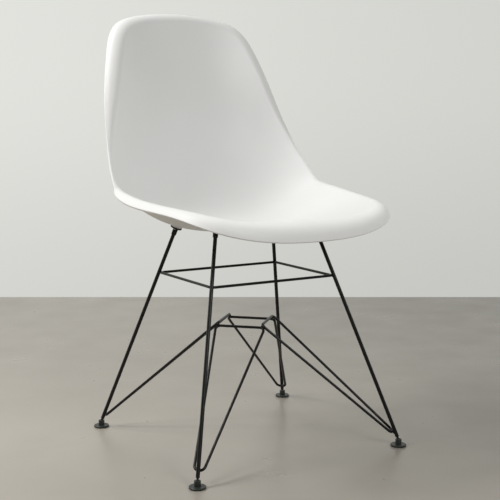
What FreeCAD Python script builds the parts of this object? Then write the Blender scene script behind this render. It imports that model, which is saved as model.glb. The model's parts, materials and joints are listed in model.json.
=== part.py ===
import FreeCAD, Part
import math
import os

# Moulded plastic shell chair on a base of welded steel rod.
# Millimetres. +Z is up, the sitter faces -Y and the sitter's left is +X.
# The origin lies on the floor, midway between the seat's front and the back's rear.
# Sizes of the base are measured from the middle of its four feet.

Vector = FreeCAD.Vector
UP = Vector(0, 0, 1)

# How far the base's middle lies in front of the origin
base_ahead_of_origin = 29.6

# Legs: each centre line runs from its ball through the middle of a rear mount plate's seat.
# The front legs are longer, so that their plates stand higher.
foot_half_width = 214.0
foot_half_depth = 200.0
ball_height = 12.0
plate_half_width = 107.0
plate_half_depth = 74.9
plate_height = 406.0
front_plate_rise = 11.0
leg_dia = 7.0
leg_chamfer = 0.6

# Upper ring of bent wire
ring_height = 317.0
ring_wire_dia = 5.0
ring_bend_radius = 8.0

# Lower braces, one closed wire loop for each foot
brace_wire_dia = 5.0
brace_square_reach = 60.0
brace_square_height = 224.0
brace_crossing_step = 6.1
brace_overrun = 3.5
brace_top_bend_radius = 8.5
brace_foot_bend_radius = 9.6
brace_foot_height = 26.4
weld_gap = 0.1

# Mount plates welded on the leg tops, with a rubber washer above each
washer_dia = 22.0
washer_thickness = 1.0
plate_dia = 22.0
plate_thickness = 2.0
plate_edge_round = 0.4
collar_dia_top = 10.0
collar_dia_bottom = 9.4
collar_length = 13.3
collar_floor = 1.2
collar_clearance = 0.05

# Screws and threaded inserts, two of each at every leg
screw_spacing = 15.6
screw_dia = 3.0
screw_clearance = 0.2
screw_head_dia = 5.2
screw_head_height = 1.6
screw_socket_dia = 2.2
screw_socket_depth = 0.9
insert_dia = 4.6
insert_length = 4.0
insert_end_room = 0.4
cut_overrun = 1.0
thread_clearance = 0.05

# Glides: ball stud, liner cup, foot and sole pad
ball_dia = 7.4
neck_dia = 4.0
leg_end_gap = 5.4
stud_shank_length = 10.0
stud_clearance = 0.05
liner_thickness = 0.8
liner_rim_height = 1.2
cup_clearance = 0.05
cup_rim_height = 1.5
cup_dia = 11.6
foot_disc_dia = 29.6
foot_disc_thickness = 2.8
foot_disc_bevel = 1.0
cup_rim_round = 0.6
sole_dia = 26.5
sole_thickness = 1.2
sole_edge_round = 0.4

# Shell: thickness of the moulding, rounding of its edge and the bosses under it
shell_thickness = 5.0
lip_edge_round = 0.8
boss_dia = 22.0

# Side view of the shell's middle line, from the front of the seat to the top of the back.
# Each point is (distance behind the base's middle, height above the rear mount plates).
# The points lie one control_step apart along the line.
control_step = 100.0
middle_line = [
    (-248, 32), (-162, 30), (-68, 14), (28, -10), (130, 6), (190, 87),
    (225, 182), (232, 279), (259, 376), (291, 470), (295, 568),
]
# How far the shell rises towards the sitter at side_reference from the middle, at the same points
side_rise = [18, 28, 38, 58, 55, 52, 55, 58, 50, 34, 16]
side_reference = 200.0
side_power = 3.0

# Half outline of the shell where the lip begins. Each station is
# (half width, distance along the middle line, lip radius, lip angle, straight run after the lip).
rim_stations = [
    (0, 57, 36, 78, 6), (93, 52, 32, 78, 6), (175, 69, 23, 78, 6), (198, 150, 16, 75, 6),
    (212, 222, 15, 80, 9), (215, 290, 14, 80, 11), (215, 350, 12, 78, 8), (214, 397, 10, 60, 4),
    (217, 442, 10, 35, 1), (212, 496, 10, 30, 1), (189, 581, 14, 55, 4), (164, 655, 21, 80, 7),
    (136, 765, 24, 78, 7), (114, 813, 24, 78, 6), (0, 827, 20, 78, 6),
]

# Rows and columns of points that carry the shell's surface
bowl_centre_distance = 290.0
columns = 84
bowl_rows = 12
bowl_row_power = 1.6
centre_row_split = 3
lip_rows = 10
straight_rows = 2
curve_step = 0.001
surface_step = 0.5

# Corners of the chair: name, side and end, with the sitter's left and the rear positive
corners = [
    ("front_right", -1, -1),
    ("front_left", 1, -1),
    ("rear_right", -1, 1),
    ("rear_left", 1, 1),
]


def save(name, shape):
    placed = shape.copy()
    placed.translate(Vector(0, -base_ahead_of_origin, 0))
    placed.exportStep("parts/%s.step" % name)
    print(name, len(placed.Solids), "solid", round(placed.Volume, 1), "valid", placed.isValid())


# Curves through control points


def cubic_weights(f):
    return (
        (1 - f) ** 3 / 6,
        (3 * f ** 3 - 6 * f ** 2 + 4) / 6,
        (-3 * f ** 3 + 3 * f ** 2 + 3 * f + 1) / 6,
        f ** 3 / 6,
    )


def blend_rows(rows, weights):
    return [sum(w * row[k] for w, row in zip(weights, rows)) for k in range(len(rows[0]))]


def open_curve(points, t):
    """Uniform cubic spline that starts and ends on its first and last points."""
    first = [2 * a - b for a, b in zip(points[0], points[1])]
    last = [2 * a - b for a, b in zip(points[-1], points[-2])]
    padded = [first] + [list(p) for p in points] + [last]
    span = min(max(int(math.floor(t)), 0), len(points) - 2)
    return blend_rows(padded[span:span + 4], cubic_weights(t - span))


def closed_curve(points, t):
    """Uniform cubic spline that runs round a ring of points."""
    count = len(points)
    span = int(math.floor(t))
    rows = [points[(span + k - 1) % count] for k in range(4)]
    return blend_rows(rows, cubic_weights(t - span))


# Form of the shell


def middle_point(distance):
    t = distance / control_step
    y, z = open_curve(middle_line, t)
    ahead = open_curve(middle_line, t + curve_step)
    behind = open_curve(middle_line, t - curve_step)
    dy = ahead[0] - behind[0]
    dz = ahead[1] - behind[1]
    size = math.hypot(dy, dz)
    return y, plate_height + z, -dz / size, dy / size


def shell_point(x, distance):
    """A point of the sitter's side: the middle line, raised towards the sitter away from the middle."""
    y, z, ny, nz = middle_point(distance)
    t = distance / control_step
    rise = open_curve([(r,) for r in side_rise], t)[0] * abs(x / side_reference) ** side_power
    return Vector(x, y + rise * ny, z + rise * nz)


def shell_normal(x, distance):
    h = surface_step
    across = shell_point(x + h, distance) - shell_point(x - h, distance)
    along = shell_point(x, distance + h) - shell_point(x, distance - h)
    return across.cross(along).normalize()


def full_rim():
    mirrored = [(-station[0],) + station[1:] for station in rim_stations[1:-1]]
    return rim_stations + mirrored[::-1]


def rim_frame(rim, t):
    """Edge point of the bowl at t, its lip's values, and the directions outward and normal there."""
    x, s, radius, angle, straight = closed_curve(rim, t)
    ahead = closed_curve(rim, t + curve_step)
    behind = closed_curve(rim, t - curve_step)
    step = math.hypot(ahead[0] - behind[0], ahead[1] - behind[1])
    side_x = (ahead[0] - behind[0]) / step
    side_s = (ahead[1] - behind[1]) / step
    normal = shell_normal(x, s)
    outward = shell_point(x + side_s, s - side_x) - shell_point(x - side_s, s + side_x)
    sideways = shell_point(x + side_x, s + side_s) - shell_point(x - side_x, s - side_s)
    sideways.normalize()
    outward = outward - sideways * outward.dot(sideways)
    outward = (outward - normal * outward.dot(normal)).normalize()
    return x, s, radius, math.radians(angle), straight, outward, normal


def shell_column(rim, t, rows):
    """Points and normals of one line from the middle of the bowl out over the lip."""
    rim_x, rim_s, radius, full_angle, straight, outward, normal = rim_frame(rim, t)
    edge = shell_point(rim_x, rim_s)
    line = []
    for share in rows:
        if share <= 1:
            x = share * rim_x
            s = bowl_centre_distance + share * (rim_s - bowl_centre_distance)
            line.append((shell_point(x, s), shell_normal(x, s)))
            continue
        angle = full_angle * min(share - 1, 1)
        point = edge + outward * (radius * math.sin(angle)) - normal * (radius * (1 - math.cos(angle)))
        facing = outward * math.sin(angle) + normal * math.cos(angle)
        if share > 2:
            run = outward * math.cos(angle) - normal * math.sin(angle)
            point = point + run * (straight * (share - 2))
        line.append((point, facing))
    return line


def sharpened(ring):
    """Poles for a ring of points, moved outwards so that the smooth surface passes through the points."""
    count = len(ring)
    poles = []
    for k in range(count):
        mean = (ring[k - 1] + ring[k] * 4 + ring[(k + 1) % count]) * (1 / 6)
        poles.append(ring[k] * 2 - mean)
    return poles


def flatten_centre(rings):
    """Makes the first ring one point and lays the second ring in the level of the surface there."""
    normal = shell_normal(0, bowl_centre_distance)
    centre = rings[0][0]
    rings[0] = [centre] * columns
    rings[1] = [point - normal * normal.dot(point - centre) for point in rings[1]]


def ring_surface(rings, degree):
    """A surface that is closed around its rings and clamped at the first and last ring."""
    rows = len(rings)
    inner = list(range(rows - degree + 1))
    row_counts = [degree + 1] + [1] * (len(inner) - 2) + [degree + 1]
    surface = Part.BSplineSurface()
    surface.buildFromPolesMultsKnots(
        rings, row_counts, [1] * (columns + 1), inner, list(range(columns + 1)),
        False, True, degree, 3,
    )
    return surface


def shell_rows():
    bowl = [1 - (1 - k / bowl_rows) ** bowl_row_power for k in range(bowl_rows + 1)]
    bowl.insert(1, bowl[1] / centre_row_split)
    lip = [1 + (k + 1) / lip_rows for k in range(lip_rows)]
    straight = [2 + (k + 1) / straight_rows for k in range(straight_rows)]
    return bowl + lip + straight


def make_shell():
    rim = full_rim()
    rows = shell_rows()
    lines = [shell_column(rim, len(rim) * k / columns, rows) for k in range(columns)]
    upper = [[line[row][0] for line in lines] for row in range(len(rows))]
    lower = [[line[row][0] - line[row][1] * shell_thickness for line in lines] for row in range(len(rows))]
    upper = [sharpened(ring) for ring in upper]
    lower = [sharpened(ring) for ring in lower]
    flatten_centre(upper)
    flatten_centre(lower)
    edge = []
    for k in range(columns):
        run = (upper[-1][k] - upper[-2][k]).normalize()
        edge.append((upper[-1][k] + lower[-1][k]) * 0.5 + run * (2 * lip_edge_round))
    faces = [
        ring_surface(upper, 3).toShape(),
        ring_surface([upper[-1], edge, lower[-1]], 2).toShape(),
        ring_surface(lower, 3).toShape(),
    ]
    skin = Part.Shell(faces)
    solid = Part.Solid(skin)
    if solid.Volume < 0:
        solid.reverse()
    return solid


# Lines of the legs


def leg_line(side, end):
    """Ball centre, middle of the mount plate's seat, and the leg's direction upwards."""
    ball = Vector(side * foot_half_width, end * foot_half_depth, ball_height)
    plate = Vector(side * plate_half_width, end * plate_half_depth, plate_height)
    up = (plate - ball).normalize()
    if end < 0:
        plate = plate + up * (front_plate_rise / up.z)
    return ball, plate, up


def leg_point(side, end, height):
    ball, plate, up = leg_line(side, end)
    return ball + up * ((height - ball.z) / up.z)


def lean_outward(side, end):
    """Level direction in which a leg leans outwards."""
    ball, plate, up = leg_line(side, end)
    return Vector(-up.x, -up.y, 0).normalize()


def rod_contact(other_dia, side, end):
    """Level distance between a leg's centre line and a rod that lies against its inner side."""
    ball, plate, up = leg_line(side, end)
    return ((leg_dia + other_dia) / 2 + weld_gap) / up.z


def make_leg(side, end):
    ball, plate, up = leg_line(side, end)
    start = ball + up * leg_end_gap
    finish = plate - up * (washer_thickness + collar_floor + collar_clearance)
    rod = Part.makeCylinder(leg_dia / 2, (finish - start).Length, start, up)
    rims = [e for e in rod.Edges if e.Closed and e.Curve.TypeId == "Part::GeomCircle"]
    rod = rod.makeChamfer(leg_chamfer, rims)
    hole = Part.makeCylinder(neck_dia / 2 + stud_clearance, stud_shank_length + stud_clearance, start, up)
    return rod.cut(hole)


# Mounts at the leg tops


def screw_axis_points(side, end):
    """Points on the plane of the plate's upper face where the two screws pass."""
    ball, plate, up = leg_line(side, end)
    across = up.cross(lean_outward(side, end)).normalize()
    return [plate + across * (screw_spacing / 2), plate - across * (screw_spacing / 2)]


def make_washer(side, end):
    ball, plate, up = leg_line(side, end)
    washer = Part.makeCylinder(washer_dia / 2, washer_thickness, plate - up * washer_thickness, up)
    for point in screw_axis_points(side, end):
        start = point - up * (washer_thickness + cut_overrun)
        hole = Part.makeCylinder(
            screw_dia / 2 + screw_clearance, washer_thickness + 2 * cut_overrun, start, up)
        washer = washer.cut(hole)
    return washer


def make_plate(side, end):
    ball, plate, up = leg_line(side, end)
    top = plate - up * washer_thickness
    disc = Part.makeCylinder(plate_dia / 2, plate_thickness, top, up * -1)
    rims = [e for e in disc.Edges if e.Closed and e.Curve.TypeId == "Part::GeomCircle"]
    disc = disc.makeFillet(plate_edge_round, rims)
    collar = Part.makeCone(
        collar_dia_top / 2, collar_dia_bottom / 2, collar_length, top - up * plate_thickness, up * -1)
    body = disc.fuse(collar)
    depth = plate_thickness + collar_length - collar_floor
    bore = Part.makeCylinder(
        leg_dia / 2 + collar_clearance, depth + cut_overrun, top - up * collar_floor, up * -1)
    body = body.cut(bore)
    for point in screw_axis_points(side, end):
        start = point - up * (washer_thickness + plate_thickness + cut_overrun)
        hole = Part.makeCylinder(
            screw_dia / 2 + screw_clearance, plate_thickness + 2 * cut_overrun, start, up)
        body = body.cut(hole)
    return body.removeSplitter()


def make_screws(side, end):
    ball, plate, up = leg_line(side, end)
    screws = []
    for point in screw_axis_points(side, end):
        head_top = point - up * (washer_thickness + plate_thickness)
        head = Part.makeCylinder(screw_head_dia / 2, screw_head_height, head_top, up * -1)
        shank = Part.makeCylinder(
            screw_dia / 2, washer_thickness + plate_thickness + insert_length, head_top, up)
        socket_start = head_top - up * screw_head_height
        socket = Part.makeCylinder(screw_socket_dia / 2, screw_socket_depth, socket_start, up)
        screws.append(head.fuse(shank).cut(socket).removeSplitter())
    return Part.Compound(screws)


def make_inserts(side, end):
    ball, plate, up = leg_line(side, end)
    inserts = []
    for point in screw_axis_points(side, end):
        sleeve = Part.makeCylinder(insert_dia / 2, insert_length, point, up)
        bore = Part.makeCylinder(
            screw_dia / 2 + thread_clearance, insert_length + 2 * cut_overrun, point - up * cut_overrun, up)
        inserts.append(sleeve.cut(bore))
    return Part.Compound(inserts)


def add_bosses(shell):
    """Flat seats for the washers under the shell, with blind pockets for the inserts."""
    post_length = shell.BoundBox.ZLength / 2
    for name, side, end in corners:
        ball, plate, up = leg_line(side, end)
        post = Part.makeCylinder(boss_dia / 2, post_length, plate, up)
        below = sorted(post.cut(shell).Solids, key=lambda piece: piece.CenterOfMass.z)[0]
        shell = shell.fuse(below)
    for name, side, end in corners:
        ball, plate, up = leg_line(side, end)
        for point in screw_axis_points(side, end):
            depth = insert_length + insert_end_room
            pocket = Part.makeCylinder(
                insert_dia / 2 + thread_clearance, depth + cut_overrun, point - up * cut_overrun, up)
            shell = shell.cut(pocket)
    return shell


# Bent wire


def belt(circles):
    """Edges of a wire bent round pins: straight between the pins and curved on each of them.

    Each pin is (x, y, radius) in the wire's own plane, taken anticlockwise.
    """
    tangents = []
    count = len(circles)
    for k in range(count):
        ax, ay, ar = circles[k]
        bx, by, br = circles[(k + 1) % count]
        length = math.hypot(bx - ax, by - ay)
        angle = math.atan2(by - ay, bx - ax) - math.acos((ar - br) / length)
        tangents.append((
            (ax + ar * math.cos(angle), ay + ar * math.sin(angle)),
            (bx + br * math.cos(angle), by + br * math.sin(angle)),
            angle,
        ))
    pieces = []
    for k in range(count):
        start, finish, angle = tangents[k]
        pieces.append(("line", start, finish, None))
        x, y, radius = circles[(k + 1) % count]
        next_start, next_finish, next_angle = tangents[(k + 1) % count]
        turn = (next_angle - angle) % (2 * math.pi)
        middle = angle + turn / 2
        pieces.append(("arc", finish, next_start, (x + radius * math.cos(middle), y + radius * math.sin(middle))))
    return pieces


def bent_wire(circles, dia, origin, along, across):
    """Round wire of the given diameter along a belt that lies in the plane of two directions."""
    def lift(point):
        return origin + along * point[0] + across * point[1]
    edges = []
    for kind, start, finish, middle in belt(circles):
        if kind == "line":
            edges.append(Part.LineSegment(lift(start), lift(finish)).toShape())
        else:
            edges.append(Part.Arc(lift(start), lift(middle), lift(finish)).toShape())
    path = Part.Wire(edges)
    first = edges[0]
    heading = (first.Vertexes[-1].Point - first.Vertexes[0].Point).normalize()
    section = Part.Wire(Part.makeCircle(dia / 2, first.Vertexes[0].Point, heading))
    pipe = path.makePipeShell([section], True, False)
    if pipe.Volume < 0:
        pipe.reverse()
    print("wire length", round(path.Length, 1), "volume share", round(
        pipe.Volume / (path.Length * math.pi * dia * dia / 4), 5))
    return pipe


def make_ring():
    leg = leg_point(1, 1, ring_height)
    outward = lean_outward(1, 1)
    reach = ring_bend_radius + rod_contact(ring_wire_dia, 1, 1)
    x = leg.x - outward.x * reach
    y = leg.y - outward.y * reach
    pins = [(-x, -y), (x, -y), (x, y), (-x, y)]
    circles = [(px, py, ring_bend_radius) for px, py in pins]
    return bent_wire(circles, ring_wire_dia, Vector(0, 0, ring_height), Vector(1, 0, 0), Vector(0, 1, 0))


def make_brace(side, end):
    """One closed loop: a top side along the middle square and a tight bend against its leg."""
    upper = side * end < 0
    height = brace_square_height + (brace_crossing_step if upper else 0)
    middle = Vector(side * brace_square_reach / 2, end * brace_square_reach / 2, height)
    leg = leg_point(side, end, brace_foot_height)
    outward = lean_outward(side, end)
    tip = leg - outward * rod_contact(brace_wire_dia, side, end)
    along = Vector(-end, side, 0).normalize() * (side * end)
    slope = (tip - middle) - along * (tip - middle).dot(along)
    slope.normalize()
    half = brace_square_reach / math.sqrt(2) + brace_overrun - brace_top_bend_radius
    tip_x = (tip - middle).dot(along)
    tip_y = (tip - middle).dot(slope)
    circles = [
        (-half, brace_top_bend_radius, brace_top_bend_radius),
        (half, brace_top_bend_radius, brace_top_bend_radius),
        (tip_x, tip_y - brace_foot_bend_radius, brace_foot_bend_radius),
    ]
    return bent_wire(circles, brace_wire_dia, middle, along, slope)


# Glides


def make_ball_stud(side, end):
    ball, plate, up = leg_line(side, end)
    head = Part.makeSphere(ball_dia / 2, ball)
    neck = Part.makeCylinder(neck_dia / 2, leg_end_gap + stud_shank_length, ball, up)
    return head.fuse(neck).removeSplitter()


def make_liner(side, end):
    ball, plate, up = leg_line(side, end)
    inner = ball_dia / 2 + cup_clearance
    outer = inner + liner_thickness
    liner = Part.makeSphere(outer, ball).cut(Part.makeSphere(inner, ball))
    lid = Part.makeCylinder(2 * outer, 2 * outer, ball + UP * liner_rim_height, UP)
    return liner.cut(lid)


def make_foot(side, end):
    ball, plate, up = leg_line(side, end)
    floor_point = Vector(ball.x, ball.y, 0)
    bottom = sole_thickness
    disc = Part.makeCylinder(foot_disc_dia / 2, foot_disc_thickness, floor_point + UP * bottom, UP)
    top_rim = [e for e in disc.Edges if e.Closed and abs(e.BoundBox.ZMin - bottom - foot_disc_thickness) < 1e-6]
    disc = disc.makeChamfer(foot_disc_bevel, top_rim)
    cup_top = ball_height + cup_rim_height
    sleeve = Part.makeCylinder(cup_dia / 2, cup_top - bottom, floor_point + UP * bottom, UP)
    sleeve_rim = [e for e in sleeve.Edges if e.Closed and abs(e.BoundBox.ZMin - cup_top) < 1e-6]
    sleeve = sleeve.makeFillet(cup_rim_round, sleeve_rim)
    cavity = Part.makeSphere(ball_dia / 2 + liner_thickness + 2 * cup_clearance, ball)
    return disc.fuse(sleeve).cut(cavity).removeSplitter()


def make_sole(side, end):
    ball, plate, up = leg_line(side, end)
    pad = Part.makeCylinder(sole_dia / 2, sole_thickness, Vector(ball.x, ball.y, 0), UP)
    lower_rim = [e for e in pad.Edges if e.Closed and abs(e.BoundBox.ZMax) < 1e-6]
    return pad.makeFillet(sole_edge_round, lower_rim)


os.makedirs("parts", exist_ok=True)
save("seat_shell", add_bosses(make_shell()))
save("upper_ring", make_ring())
for name, side, end in corners:
    save("leg_" + name, make_leg(side, end))
    save("mount_plate_" + name, make_plate(side, end))
    save("mount_washer_" + name, make_washer(side, end))
    save("mount_screws_" + name, make_screws(side, end))
    save("thread_inserts_" + name, make_inserts(side, end))
    save("brace_wire_" + name, make_brace(side, end))
    save("glide_ball_stud_" + name, make_ball_stud(side, end))
    save("glide_liner_" + name, make_liner(side, end))
    save("glide_foot_" + name, make_foot(side, end))
    save("glide_sole_" + name, make_sole(side, end))
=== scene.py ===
import json
import math
import bpy
import numpy as np
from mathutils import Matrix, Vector

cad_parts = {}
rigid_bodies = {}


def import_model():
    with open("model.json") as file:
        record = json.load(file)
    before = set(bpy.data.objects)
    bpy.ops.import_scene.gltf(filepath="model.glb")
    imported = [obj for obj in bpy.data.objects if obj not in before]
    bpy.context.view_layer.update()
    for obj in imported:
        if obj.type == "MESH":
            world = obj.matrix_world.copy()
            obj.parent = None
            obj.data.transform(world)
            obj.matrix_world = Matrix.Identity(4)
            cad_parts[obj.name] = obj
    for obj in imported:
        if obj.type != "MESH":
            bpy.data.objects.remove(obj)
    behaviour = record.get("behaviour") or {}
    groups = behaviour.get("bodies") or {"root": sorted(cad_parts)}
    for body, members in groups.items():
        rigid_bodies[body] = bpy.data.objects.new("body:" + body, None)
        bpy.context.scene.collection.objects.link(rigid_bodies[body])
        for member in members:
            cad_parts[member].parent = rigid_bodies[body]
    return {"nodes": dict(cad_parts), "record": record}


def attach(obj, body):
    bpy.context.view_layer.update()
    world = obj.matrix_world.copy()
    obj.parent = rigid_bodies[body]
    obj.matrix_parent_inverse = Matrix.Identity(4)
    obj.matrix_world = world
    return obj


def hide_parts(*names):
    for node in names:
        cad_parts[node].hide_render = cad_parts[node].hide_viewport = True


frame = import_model()
# only the frame's own objects stay
packed = frame["nodes"]
for stray in [o for o in bpy.data.objects if o.name not in packed and not o.name.startswith("body:")]:
    bpy.data.objects.remove(stray)
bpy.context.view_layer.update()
print("frame loaded:", len(packed), "nodes")

mm = 0.001
# each corner of the base: side and end, as the sitter sees them
corners = {"front_right": (-1, -1), "front_left": (1, -1), "rear_right": (-1, 1), "rear_left": (1, 1)}

# places and sizes of the wire base, in millimetres from its middle on the floor
base = {
    "ahead": 29.6,              # its middle stands this far in front of the part's origin
    "footHalfWidth": 214.0, "footHalfDepth": 200.0, "ballHeight": 12.0,
    "plateHalfWidth": 107.0, "plateHalfDepth": 74.9, "plateHeight": 406.0,
    "frontRise": 11.0,          # the front plates stand this much higher than the rear ones
    "legDia": 7.0, "ringHeight": 317.0, "ringDia": 5.0, "weldGap": 0.1,
    "squareReach": 60.0, "squareHeight": 224.0, "crossingStep": 6.1,
    "braceDia": 5.0, "braceFootHeight": 26.4,
}

# small helpers


def unit(v):
    # every row divided by its own length
    return v / np.linalg.norm(v, axis=-1, keepdims=True)


def dot(a, b):
    # sum of the products along each row, kept as a column
    return (a * b).sum(-1, keepdims=True)


def inPart(points):
    # from the base's middle, in millimetres, to the part's frame in metres
    return (np.asarray(points) - np.array([0, base["ahead"], 0])) * mm


def gridFaces(rows, columns):
    # quads between neighbouring rows of a grid whose columns run round in a ring
    r = np.arange(rows - 1)[:, None] * columns
    c = np.arange(columns)[None, :]
    n = (c + 1) % columns
    return np.stack([r + c, r + n, r + columns + n, r + columns + c], -1).reshape(-1, 4)


def fanFaces(ring, centre, flip):
    # triangles from a ring of vertices to one vertex
    following = np.roll(ring, -1)
    middle = np.full_like(ring, centre)
    return np.stack([following, ring, middle] if flip else [ring, following, middle], -1)


def closedFaces(rows, columns, turned):
    # a ring grid closed by one pole at each end, the poles coming after the grid's vertices
    count = rows * columns
    first = np.arange(columns)
    last = first + count - columns
    quads = gridFaces(rows, columns)
    caps = np.concatenate([fanFaces(first, count, not turned), fanFaces(last, count + 1, turned)])
    return (quads[:, ::-1] if turned else quads), caps


def makePiece(name, vertices, quads, triangles=None):
    # whole arrays straight into a mesh, shaded smooth
    mesh = bpy.data.meshes.new(name)
    loops = [np.asarray(quads).ravel()]
    starts = [np.arange(len(quads)) * 4]
    if triangles is not None:
        loops.append(np.asarray(triangles).ravel())
        starts.append(len(quads) * 4 + np.arange(len(triangles)) * 3)
    loops, starts = np.concatenate(loops), np.concatenate(starts)
    mesh.vertices.add(len(vertices))
    mesh.vertices.foreach_set("co", np.asarray(vertices, dtype=np.float32).ravel())
    mesh.loops.add(len(loops))
    mesh.loops.foreach_set("vertex_index", loops.astype(np.int32))
    mesh.polygons.add(len(starts))
    mesh.polygons.foreach_set("loop_start", starts.astype(np.int32))
    mesh.polygons.foreach_set("use_smooth", np.ones(len(starts), dtype=bool))
    mesh.update(calc_edges=True)
    mesh.validate()
    piece = bpy.data.objects.new(name, mesh)
    bpy.context.scene.collection.objects.link(piece)
    return piece


# seat shell: one moulding with a rolled lip

shell = {
    "thickness": 5.0,
    "skin": 0.15,               # the drawn surface lies this far inside the solid's
    "controlStep": 100.0,
    # side view of the middle line: behind the base's middle, height over the rear mount plates
    "middleLine": [
        (-248, 32), (-162, 30), (-68, 14), (28, -10), (130, 6), (190, 87),
        (225, 182), (232, 279), (259, 376), (291, 470), (295, 568),
    ],
    # rise towards the sitter, sideReference away from the middle
    "sideRise": [18, 28, 38, 58, 55, 52, 55, 58, 50, 34, 16],
    "sideReference": 200.0,
    "sidePower": 3.0,
    # half outline where the lip begins: half width, distance along the middle line,
    # lip radius, lip angle, straight run after the lip
    "rimStations": [
        (0, 57, 36, 78, 6), (93, 52, 32, 78, 6), (175, 69, 23, 78, 6), (198, 150, 16, 75, 6),
        (212, 222, 15, 80, 9), (215, 290, 14, 80, 11), (215, 350, 12, 78, 8), (214, 397, 10, 60, 4),
        (217, 442, 10, 35, 1), (212, 496, 10, 30, 1), (189, 581, 14, 55, 4), (164, 655, 21, 80, 7),
        (136, 765, 24, 78, 7), (114, 813, 24, 78, 6), (0, 827, 20, 78, 6),
    ],
    "bowlCentre": 290.0,
    "edgeDepth": 1.3,           # how far the rounded edge runs out
    "edgeBeyond": 0.8,          # the part of it that is past the straight run
    # rows and columns of the mesh, and how the bowl's rows crowd towards the rim
    "columns": 336, "bowlRows": 56, "bowlRowPower": 1.5, "lipRows": 20, "straightRows": 3, "edgeRows": 12,
    # small steps for slopes: along the line's curve, on the surface, round the rim
    "curveStep": 0.001, "surfaceStep": 0.5, "turnStep": 1e-4,
}


def splineAt(points, t, closed=False):
    # uniform cubic spline: each value is four neighbouring points weighed by the cubic's four weights
    points = np.asarray(points, float)
    if closed:
        ring = np.concatenate([points[-1:], points, points[:2]])
        t = np.mod(t, len(points))
        last = len(points) - 1
    else:
        ring = np.concatenate([2 * points[:1] - points[1:2], points, 2 * points[-1:] - points[-2:-1]])
        last = len(points) - 2
    i = np.clip(np.floor(t).astype(int), 0, last)
    f = (t - i)[..., None]
    weights = ((1 - f) ** 3, 3 * f ** 3 - 6 * f ** 2 + 4, -3 * f ** 3 + 3 * f ** 2 + 3 * f + 1, f ** 3)
    return sum(w * ring[i + k] for k, w in enumerate(weights)) / 6


def shellPoint(x, s):
    # middle line at distance s, plus rise times (x over reference) to a power, along the line's normal
    t = s / shell["controlStep"]
    step = shell["curveStep"]
    line = splineAt(shell["middleLine"], t)
    forth = unit(splineAt(shell["middleLine"], t + step) - splineAt(shell["middleLine"], t - step))
    rise = splineAt(np.array(shell["sideRise"], float)[:, None], t)[..., 0]
    rise = rise * np.abs(x / shell["sideReference"]) ** shell["sidePower"]
    height = base["plateHeight"] + line[..., 1]
    return np.stack([x, line[..., 0] - rise * forth[..., 1], height + rise * forth[..., 0]], -1)


def shellNormal(x, s):
    # cross product of the surface's two directions, towards the sitter
    step = shell["surfaceStep"]
    across = shellPoint(x + step, s) - shellPoint(x - step, s)
    forth = shellPoint(x, s + step) - shellPoint(x, s - step)
    return unit(np.cross(across, forth))


def lowerPoint(x, s):
    # the underside: one thickness back along the normal
    return shellPoint(x, s) - shellNormal(x, s) * shell["thickness"]


def rimAt(turn):
    # the half outline and its mirror image as one closed spline, turn going from 0 to 1
    half = shell["rimStations"]
    full = half + [(-station[0], *station[1:]) for station in half[1:-1]][::-1]
    return splineAt(full, turn * len(full), closed=True)


def rowShares(rows):
    # equal shares up to 1, one for each row
    return np.arange(1, rows + 1) / rows


def shellRings():
    # rows of one closed section, from the bowl's middle out over the lip, round its edge and back under
    turn = np.arange(shell["columns"]) / shell["columns"]
    rim = rimAt(turn)
    rimX, rimS = rim[:, 0], rim[:, 1]
    radius, full, straightRun = rim[:, 2:3], np.radians(rim[:, 3:4]), rim[:, 4:5]
    ahead = rimAt(turn + shell["turnStep"]) - rimAt(turn - shell["turnStep"])
    size = np.hypot(ahead[:, 0], ahead[:, 1])
    sideX, sideS = ahead[:, 0] / size, ahead[:, 1] / size
    edge = shellPoint(rimX, rimS)
    normal = shellNormal(rimX, rimS)
    outward = shellPoint(rimX + sideS, rimS - sideX) - shellPoint(rimX - sideS, rimS + sideX)
    sideways = unit(shellPoint(rimX + sideX, rimS + sideS) - shellPoint(rimX - sideX, rimS - sideS))
    outward = outward - sideways * dot(outward, sideways)
    outward = unit(outward - normal * dot(outward, normal))

    # bowl: shares of the way from its centre to the rim
    shares = 1 - (1 - rowShares(shell["bowlRows"])) ** shell["bowlRowPower"]
    x = shares[:, None] * rimX
    s = shell["bowlCentre"] + shares[:, None] * (rimS - shell["bowlCentre"])
    bowl, bowlNormal = shellPoint(x, s), shellNormal(x, s)

    # lip: a circle of the rim's radius, turning from the bowl's level over and down
    a = rowShares(shell["lipRows"])[:, None, None] * full
    lip = edge + outward * radius * np.sin(a) - normal * radius * (1 - np.cos(a))
    lipNormal = outward * np.sin(a) + normal * np.cos(a)
    down = outward * np.cos(full) - normal * np.sin(full)
    short = straightRun + shell["edgeBeyond"] - shell["edgeDepth"]
    straight = lip[-1] + down * short * rowShares(shell["straightRows"])[:, None, None]
    straightNormal = np.broadcast_to(lipNormal[-1], straight.shape)

    upper = np.concatenate([bowl, lip, straight])
    upperNormal = np.concatenate([bowlNormal, lipNormal, straightNormal])
    lower = upper - upperNormal * shell["thickness"]
    upper = upper - upperNormal * shell["skin"]
    # edge: half an ellipse from the upper to the lower side
    b = (np.arange(1, shell["edgeRows"]) / shell["edgeRows"] * math.pi)[:, None, None]
    middle = (upper[-1] + lower[-1]) / 2
    half = (shell["thickness"] - shell["skin"]) / 2
    depth = shell["edgeDepth"] - shell["skin"]
    edgeRound = middle + lipNormal[-1] * half * np.cos(b) + down * depth * np.sin(b)
    return upper, edgeRound, lower


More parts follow.
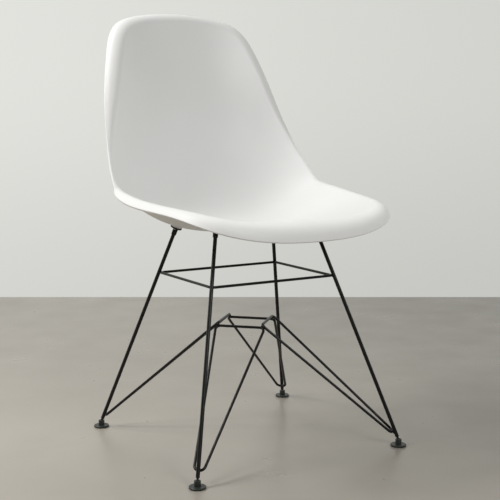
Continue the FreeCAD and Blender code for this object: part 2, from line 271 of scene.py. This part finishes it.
def makeShell():
    # the section's rows as one grid, closed by a vertex in the middle of the bowl on each side
    upper, edgeRound, lower = shellRings()
    rings = np.concatenate([upper, edgeRound, lower[::-1]])
    middleX, middleS = np.zeros(1), np.array([shell["bowlCentre"]])
    vertices = [rings.reshape(-1, 3), shellPoint(middleX, middleS), lowerPoint(middleX, middleS)]
    quads, caps = closedFaces(len(rings), shell["columns"], True)
    return makePiece("shellMoulding", inPart(np.concatenate(vertices)), quads, caps)


shellPiece = makeShell()
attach(shellPiece, "chair")
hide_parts("seat_shell")
print("shell made:", len(shellPiece.data.polygons), "faces")

# bosses under the shell, one for each mount plate

boss = {
    "radius": 11.0,
    "edgeRound": 0.5,
    "flare": 2.2,               # how far the boss widens into the shell
    "flareShare": 0.6,          # and the most of its wall that the flare may take
    "sunk": 0.8,                # how far its last row goes into the shell
    "columns": 96, "edgeRows": 5, "flareRows": 7,
    # Newton's steps to the underside: start behind the base's middle and height, rounds, slope step
    "startBehind": 270.0, "startHeight": 8.0, "rounds": 12, "slopeStep": 0.01,
}


def legLine(corner):
    # ball, plate and direction of a leg: a straight line from its glide to its mount plate
    side, end = corners[corner]
    ball = np.array([side * base["footHalfWidth"], end * base["footHalfDepth"], base["ballHeight"]])
    plate = np.array([side * base["plateHalfWidth"], end * base["plateHalfDepth"], base["plateHeight"]])
    up = unit(plate - ball)
    if end < 0:
        plate = plate + up * base["frontRise"] / up[2]
    return ball, plate, up


def acrossAxes(up):
    # level direction in which the leg leans outwards, and the two directions square to the leg
    out = unit(np.array([-up[0], -up[1], 0.0]))
    side = unit(np.cross(up, out))
    return out, side, np.cross(side, up)


def meetUnderside(start, up):
    # Newton's steps for x, s and height where lines along up meet the shell's lower side
    guess = np.stack([start[:, 0], start[:, 1] + boss["startBehind"],
                      np.full(len(start), boss["startHeight"])], -1)
    step = boss["slopeStep"]

    def miss(g):
        return lowerPoint(g[:, 0], g[:, 1]) - start - g[:, 2:3] * up

    for _ in range(boss["rounds"]):
        error = miss(guess)
        slopes = np.stack([(miss(guess + nudge) - error) / step for nudge in np.eye(3) * step], -1)
        guess = guess - np.linalg.solve(slopes, error[..., None])[..., 0]
    return guess


def makeBoss(corner):
    # a round post square to its leg: flat face, rounded lower edge, wall, flare into the shell
    plate, up = legLine(corner)[1:]
    side, forth = acrossAxes(up)[1:]
    angle = np.arange(boss["columns"]) / boss["columns"] * 2 * math.pi
    spoke = np.cos(angle)[:, None] * side + np.sin(angle)[:, None] * forth
    radius, soft, flare = boss["radius"], boss["edgeRound"], boss["flare"]
    wall = meetUnderside(plate + spoke * radius, up)
    foot = meetUnderside(plate + spoke * (radius + flare), up)
    top = plate + spoke * radius + up * wall[:, 2:3]
    spread = lowerPoint(foot[:, 0], foot[:, 1])
    inside = spread + shellNormal(foot[:, 0], foot[:, 1]) * boss["sunk"]
    # rounded lower edge: a quarter circle
    rows = [plate + spoke * (radius - soft + soft * math.sin(b)) + up * (soft - soft * math.cos(b))
            for b in np.linspace(0, math.pi / 2, boss["edgeRows"])]
    start = top - up * np.minimum(flare, wall[:, 2:3] * boss["flareShare"])
    rows.append((rows[-1] + start) / 2)
    # flare: a curve pulled towards the corner between wall and shell
    rows += [start * (1 - f) ** 2 + top * 2 * f * (1 - f) + spread * f ** 2
             for f in np.linspace(0, 1, boss["flareRows"])]
    rows.append(inside)
    vertices = np.concatenate(rows + [plate[None], inside.mean(0)[None]])
    quads, caps = closedFaces(len(rows), boss["columns"], False)
    piece = makePiece("shellBoss." + corner, inPart(vertices), quads, caps)
    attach(piece, "chair")
    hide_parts("seat_shell")
    return piece


bossPieces = [makeBoss(corner) for corner in corners]
print("bosses made:", len(bossPieces))

# weld beads where rods meet

bead = {
    "around": 40, "along": 24,
    "ripple": 0.05, "ripples": 9,
    # half sizes of a bead on a leg: across the leg, along it, towards the rod
    "atRing": (3.4, 2.8, 1.7),
    "atBrace": (3.0, 4.2, 1.7),
    # and of one at the square: level both ways, then upwards
    "atSquare": (2.6, 2.6, 2.0),
}


def ellipsoid(centre, axes, radii):
    # sphere grid stretched along three directions, with a fine ripple along the first of them
    a = np.arange(bead["around"]) / bead["around"] * 2 * math.pi
    b = np.arange(1, bead["along"]) / bead["along"] * math.pi
    u, v = np.meshgrid(a, b)
    wave = 1 + bead["ripple"] * np.sin(bead["ripples"] * v * 2)
    points = np.stack([np.cos(v), np.sin(v) * np.cos(u) * wave, np.sin(v) * np.sin(u) * wave], -1)
    points = np.concatenate([points.reshape(-1, 3), [[1, 0, 0], [-1, 0, 0]]])
    return centre + (points * radii) @ axes


def legContact(corner, height, dia):
    # middle between a leg's inner side and the rod welded to it, and the directions there
    ball, _, up = legLine(corner)
    out, side, forth = acrossAxes(up)
    reach = ((base["legDia"] + dia) / 2 + base["weldGap"]) / up[2]
    onLeg = ball + up * (height - ball[2]) / up[2]
    return onLeg - out * reach * base["legDia"] / (base["legDia"] + dia), (side, up, forth)


def beadPlaces():
    # centre, directions and half sizes of every bead: two on each leg, one at each crossing of the square
    places = []
    for corner in corners:
        places.append((*legContact(corner, base["ringHeight"], base["ringDia"]), bead["atRing"]))
        places.append((*legContact(corner, base["braceFootHeight"], base["braceDia"]), bead["atBrace"]))
    height = base["squareHeight"] + base["crossingStep"] / 2
    for x, y in ((1, 0), (-1, 0), (0, 1), (0, -1)):
        centre = np.array([x, y, 0]) * base["squareReach"] + np.array([0, 0, height])
        places.append((centre, ((y, x, 0), (x, -y, 0), (0, 0, 1)), bead["atSquare"]))
    return places


def makeBeads():
    # all beads in one mesh, each a closed grid whose directions are right-handed
    vertices, quads, caps = [], [], []
    beadQuads, beadCaps = closedFaces(bead["along"] - 1, bead["around"], True)
    for centre, axes, radii in beadPlaces():
        offset = sum(len(v) for v in vertices)
        axes = np.array(axes, float)
        if np.linalg.det(axes) < 0:
            axes[2] = -axes[2]
        vertices.append(ellipsoid(centre, axes, radii))
        quads.append(beadQuads + offset)
        caps.append(beadCaps + offset)
    vertices, quads, caps = np.concatenate(vertices), np.concatenate(quads), np.concatenate(caps)
    return makePiece("weldBeads", inPart(vertices), quads, caps)


weldBeads = makeBeads()
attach(weldBeads, "chair")
print("weld beads made")

# materials


def newMaterial(name, colour, roughness):
    material = bpy.data.materials.new(name)
    material.use_nodes = True
    shader = material.node_tree.nodes["Principled BSDF"]
    shader.inputs["Base Color"].default_value = (*colour, 1)
    shader.inputs["Roughness"].default_value = roughness
    return material, material.node_tree, shader


def addNoise(tree, scale, detail):
    # soft noise on the piece's own coordinates
    place = tree.nodes.get("Texture Coordinate") or tree.nodes.new("ShaderNodeTexCoord")
    noise = tree.nodes.new("ShaderNodeTexNoise")
    noise.inputs["Scale"].default_value = scale
    noise.inputs["Detail"].default_value = detail
    tree.links.new(place.outputs["Object"], noise.inputs["Vector"])
    return noise.outputs["Fac"]


def mapped(tree, value, low, high):
    # a value from 0 to 1 brought between low and high
    node = tree.nodes.new("ShaderNodeMapRange")
    node.inputs["To Min"].default_value = low
    node.inputs["To Max"].default_value = high
    tree.links.new(value, node.inputs["Value"])
    return node.outputs["Result"]


def mixed(tree, value, first, second):
    # a colour between two, each a fixed tone or the output of another node
    node = tree.nodes.new("ShaderNodeMix")
    node.data_type = "RGBA"
    for socket, colour in ((node.inputs[6], first), (node.inputs[7], second)):
        if isinstance(colour, tuple):
            socket.default_value = (*colour, 1)
        else:
            tree.links.new(colour, socket)
    tree.links.new(value, node.inputs[0])
    return node.outputs[2]


def rampAlong(tree, place, direction, low, high, first=0.0, second=1.0):
    # how far a place or a line of sight lies along a direction, as a soft ramp from first to second
    dotted = tree.nodes.new("ShaderNodeVectorMath")
    dotted.operation = "DOT_PRODUCT"
    dotted.inputs[1].default_value = direction
    tree.links.new(place, dotted.inputs[0])
    node = tree.nodes.new("ShaderNodeMapRange")
    node.interpolation_type = "SMOOTHSTEP"
    node.inputs["From Min"].default_value = low
    node.inputs["From Max"].default_value = high
    node.inputs["To Min"].default_value = first
    node.inputs["To Max"].default_value = second
    tree.links.new(dotted.outputs["Value"], node.inputs["Value"])
    return node.outputs["Result"]


def scaled(colour, strength):
    return tuple(c * strength for c in colour)


def addBump(tree, shader, height, strength, distance):
    bump = tree.nodes.new("ShaderNodeBump")
    bump.inputs["Strength"].default_value = strength
    bump.inputs["Distance"].default_value = distance
    tree.links.new(height, bump.inputs["Height"])
    tree.links.new(bump.outputs["Normal"], shader.inputs["Normal"])


# for each finish: darker and lighter tone, roughness from and to, patch size, grain size and depth
finishLooks = {
    "shell_plastic": {"tones": ((0.835, 0.836, 0.824), (0.862, 0.862, 0.852)), "rough": (0.42, 0.52),
                      "patch": 9.0, "grain": 1400.0, "depth": 0.25},
    "rod_coating": {"tones": ((0.005, 0.005, 0.005), (0.013, 0.013, 0.011)), "rough": (0.27, 0.38),
                    "patch": 60.0, "grain": 900.0, "depth": 0.2, "shine": 0.28},
    "glide_plastic": {"tones": ((0.017, 0.02, 0.017), (0.032, 0.036, 0.031)), "rough": (0.34, 0.5),
                      "patch": 120.0, "grain": 1600.0, "depth": 0.25, "shine": 0.4},
    "sole_plastic": {"tones": ((0.03, 0.03, 0.03), (0.055, 0.054, 0.05)), "rough": (0.7, 0.85),
                     "patch": 150.0, "grain": 1200.0, "depth": 0.5},
    "liner_nylon": {"tones": ((0.02, 0.02, 0.019), (0.036, 0.036, 0.033)), "rough": (0.4, 0.52),
                    "patch": 200.0, "grain": 1800.0, "depth": 0.15},
    "washer_rubber": {"tones": ((0.014, 0.014, 0.014), (0.024, 0.023, 0.022)), "rough": (0.72, 0.86),
                      "patch": 180.0, "grain": 1500.0, "depth": 0.5},
    "screw_steel": {"tones": ((0.42, 0.42, 0.41), (0.56, 0.56, 0.55)), "rough": (0.26, 0.42),
                    "patch": 260.0, "grain": 2400.0, "depth": 0.15, "metal": 1.0},
    "stud_steel": {"tones": ((0.035, 0.035, 0.033), (0.06, 0.058, 0.054)), "rough": (0.34, 0.48),
                   "patch": 220.0, "grain": 2600.0, "depth": 0.1, "metal": 1.0},
    "insert_brass": {"tones": ((0.62, 0.44, 0.17), (0.76, 0.57, 0.26)), "rough": (0.26, 0.4),
                     "patch": 240.0, "grain": 2200.0, "depth": 0.15, "metal": 1.0},
}
# what all finishes share
finishBase = {
    "patchDetail": 3.0, "grainDetail": 2.0,
    "sheenScale": 4,            # patches of sheen are this much finer than patches of tone
    "grainHeight": 0.0002,
    "metal": 0.0, "shine": 0.5,
}


def makeFinish(name, look):
    # patches of two tones and of two roughnesses, and a fine grain
    material, tree, shader = newMaterial(name, look["tones"][0], look["rough"][0])
    shader.inputs["Metallic"].default_value = look.get("metal", finishBase["metal"])
    shader.inputs["Specular IOR Level"].default_value = look.get("shine", finishBase["shine"])
    patches = addNoise(tree, look["patch"], finishBase["patchDetail"])
    tree.links.new(mixed(tree, patches, *look["tones"]), shader.inputs["Base Color"])
    sheen = addNoise(tree, look["patch"] * finishBase["sheenScale"], finishBase["patchDetail"])
    tree.links.new(mapped(tree, sheen, *look["rough"]), shader.inputs["Roughness"])
    grain = addNoise(tree, look["grain"], finishBase["grainDetail"])
    addBump(tree, shader, grain, look["depth"], finishBase["grainHeight"])
    return material


finishes = {name: makeFinish(name, look) for name, look in finishLooks.items()}
for piece in [shellPiece] + bossPieces:
    piece.data.materials.append(finishes["shell_plastic"])
weldBeads.data.materials.append(finishes["rod_coating"])
slotOf = {p["node"]: p["material_slot"] for p in frame["record"]["subparts"]}
for node, item in packed.items():
    for slot in item.material_slots:
        slot.material = finishes[slotOf[node]]
print("materials set")

# camera, floor and light

# place in metres, turn and tilt in degrees, lens and sensor in millimetres
eye = {
    "place": (-1.0184, -1.7253, 0.6353), "azimuth": -31.23, "pitch": -7.85,
    "lens": 76.23, "sensor": 36.0, "farEnd": 50.0,
}


def makeCamera():
    # a camera at its place, looking along its turn and tilt
    turn, tilt = math.radians(eye["azimuth"]), math.radians(eye["pitch"])
    forward = Vector((-math.sin(turn) * math.cos(tilt), math.cos(turn) * math.cos(tilt), math.sin(tilt)))
    data = bpy.data.cameras.new("camera")
    data.sensor_width = eye["sensor"]
    data.lens = eye["lens"]
    data.clip_end = eye["farEnd"]
    camera = bpy.data.objects.new("camera", data)
    bpy.context.scene.collection.objects.link(camera)
    camera.location = eye["place"]
    camera.rotation_mode = "QUATERNION"
    camera.rotation_quaternion = forward.to_track_quat("-Z", "Y")
    bpy.context.scene.camera = camera
    return forward


forward = makeCamera()
level = Vector((forward.x, forward.y, 0)).normalized()
toRight = level.cross(Vector((0, 0, 1)))

studio = {
    "floorBack": 1.46, "floorFront": 1.6, "floorSide": 1.9,
    # concrete: two tones in patches; painted light makes it paler towards the left and painted shade darker
    # towards the right
    # patches and sheen are given as the scale and the detail of their noise
    "floorTones": ((0.315, 0.288, 0.25), (0.4, 0.368, 0.32)), "floorPatches": (3.5, 6.0),
    "floorLitLeft": 1.16, "floorShadedRight": 0.72, "floorFall": (-0.7, 0.7),
    "floorRough": (0.2, 0.42), "floorSheen": (9.0, 5.0),
    # room light: the pale wall behind the chair, darkened towards its right end by painted shade, and the
    # room in front
    "wallLitLeft": (0.76, 0.765, 0.725), "wallShadedRight": (0.63, 0.635, 0.6), "wallFall": (-0.35, 0.35),
    # painted light makes the wall paler upwards: from and to (as the height of the line of sight), first and
    # last strength
    "wallLightRamp": (-0.22, 0.04, 0.865, 1.015),
    "roomTone": (0.6, 0.6, 0.58), "roomStrength": 0.15, "roomFall": (-0.2, 0.5),
    # lamps: place as right, back and up from the middle of the chair; power; size; colour
    "lampAim": 0.4,
    "lamps": {
        "key": ((-2.15, -0.78, 1.6), 29.0, 0.6, (1.0, 0.995, 0.985)),
        "low": ((-2.29, -0.14, 1.6), 8.0, 0.5, (1.0, 0.99, 0.97)),
        "high": ((-1.6, 0.0, 2.3), 21.5, 0.6, (1.0, 1.0, 0.995)),
        "front": ((1.5, -1.95, 1.4), 33.0, 1.2, (1.0, 1.0, 0.995)),
    },
}


def makeFloor():
    # one flat sheet under the chair, square to the camera's view
    left, right = -toRight * studio["floorSide"], toRight * studio["floorSide"]
    near, far = -level * studio["floorFront"], level * studio["floorBack"]
    points = [near + left, near + right, far + right, far + left]
    floor = makePiece("floor", [tuple(p) for p in points], np.array([[0, 1, 2, 3]]))
    material, tree, shader = newMaterial("floorFinish", studio["floorTones"][0], studio["floorRough"][0])
    patches = addNoise(tree, *studio["floorPatches"])
    # the patch tones scaled up on the left and down on the right: painted light and painted shade across the
    # floor
    litAndShadedSides = [mixed(tree, patches, *(scaled(tone, share) for tone in studio["floorTones"]))
             for share in (studio["floorLitLeft"], studio["floorShadedRight"])]
    place = tree.nodes["Texture Coordinate"].outputs["Object"]
    tone = mixed(tree, rampAlong(tree, place, toRight, *studio["floorFall"]), *litAndShadedSides)
    tree.links.new(tone, shader.inputs["Base Color"])
    sheen = mapped(tree, addNoise(tree, *studio["floorSheen"]), *studio["floorRough"])
    tree.links.new(sheen, shader.inputs["Roughness"])
    floor.data.materials.append(material)


def makeLamp(name, place, power, size, colour):
    # a round soft lamp turned to the middle of the chair
    data = bpy.data.lights.new(name, "AREA")
    data.energy = power
    data.shape = "DISK"
    data.size = size
    data.color = colour
    lamp = bpy.data.objects.new(name, data)
    bpy.context.scene.collection.objects.link(lamp)
    middle = Vector((0, 0, studio["lampAim"]))
    lamp.location = middle + toRight * place[0] + level * place[1] + Vector((0, 0, place[2]))
    lamp.rotation_mode = "QUATERNION"
    lamp.rotation_quaternion = (middle - lamp.location).to_track_quat("-Z", "Y")


def makeRoom():
    # a pale wall in the far half of the surroundings, the darker room in the near half
    world = bpy.data.worlds.new("studio")
    world.use_nodes = True
    tree = world.node_tree
    place = tree.nodes.new("ShaderNodeTexCoord").outputs["Generated"]
    # painted shade: the wall darkens towards its right end
    acrossWall = rampAlong(tree, place, toRight, *studio["wallFall"])
    wall = mixed(tree, acrossWall, studio["wallLitLeft"], studio["wallShadedRight"])
    room = scaled(studio["roomTone"], studio["roomStrength"])
    tone = mixed(tree, rampAlong(tree, place, level, *studio["roomFall"]), room, wall)
    background = tree.nodes["Background"]
    tree.links.new(tone, background.inputs["Color"])
    # painted light: the wall's strength grows upwards
    tree.links.new(rampAlong(tree, place, (0, 0, 1), *studio["wallLightRamp"]), background.inputs["Strength"])
    bpy.context.scene.world = world


makeFloor()
for name, (place, power, size, colour) in studio["lamps"].items():
    makeLamp(name, place, power, size, colour)
makeRoom()
bpy.context.scene.view_settings.view_transform = "Standard"
print("camera, floor and light set")
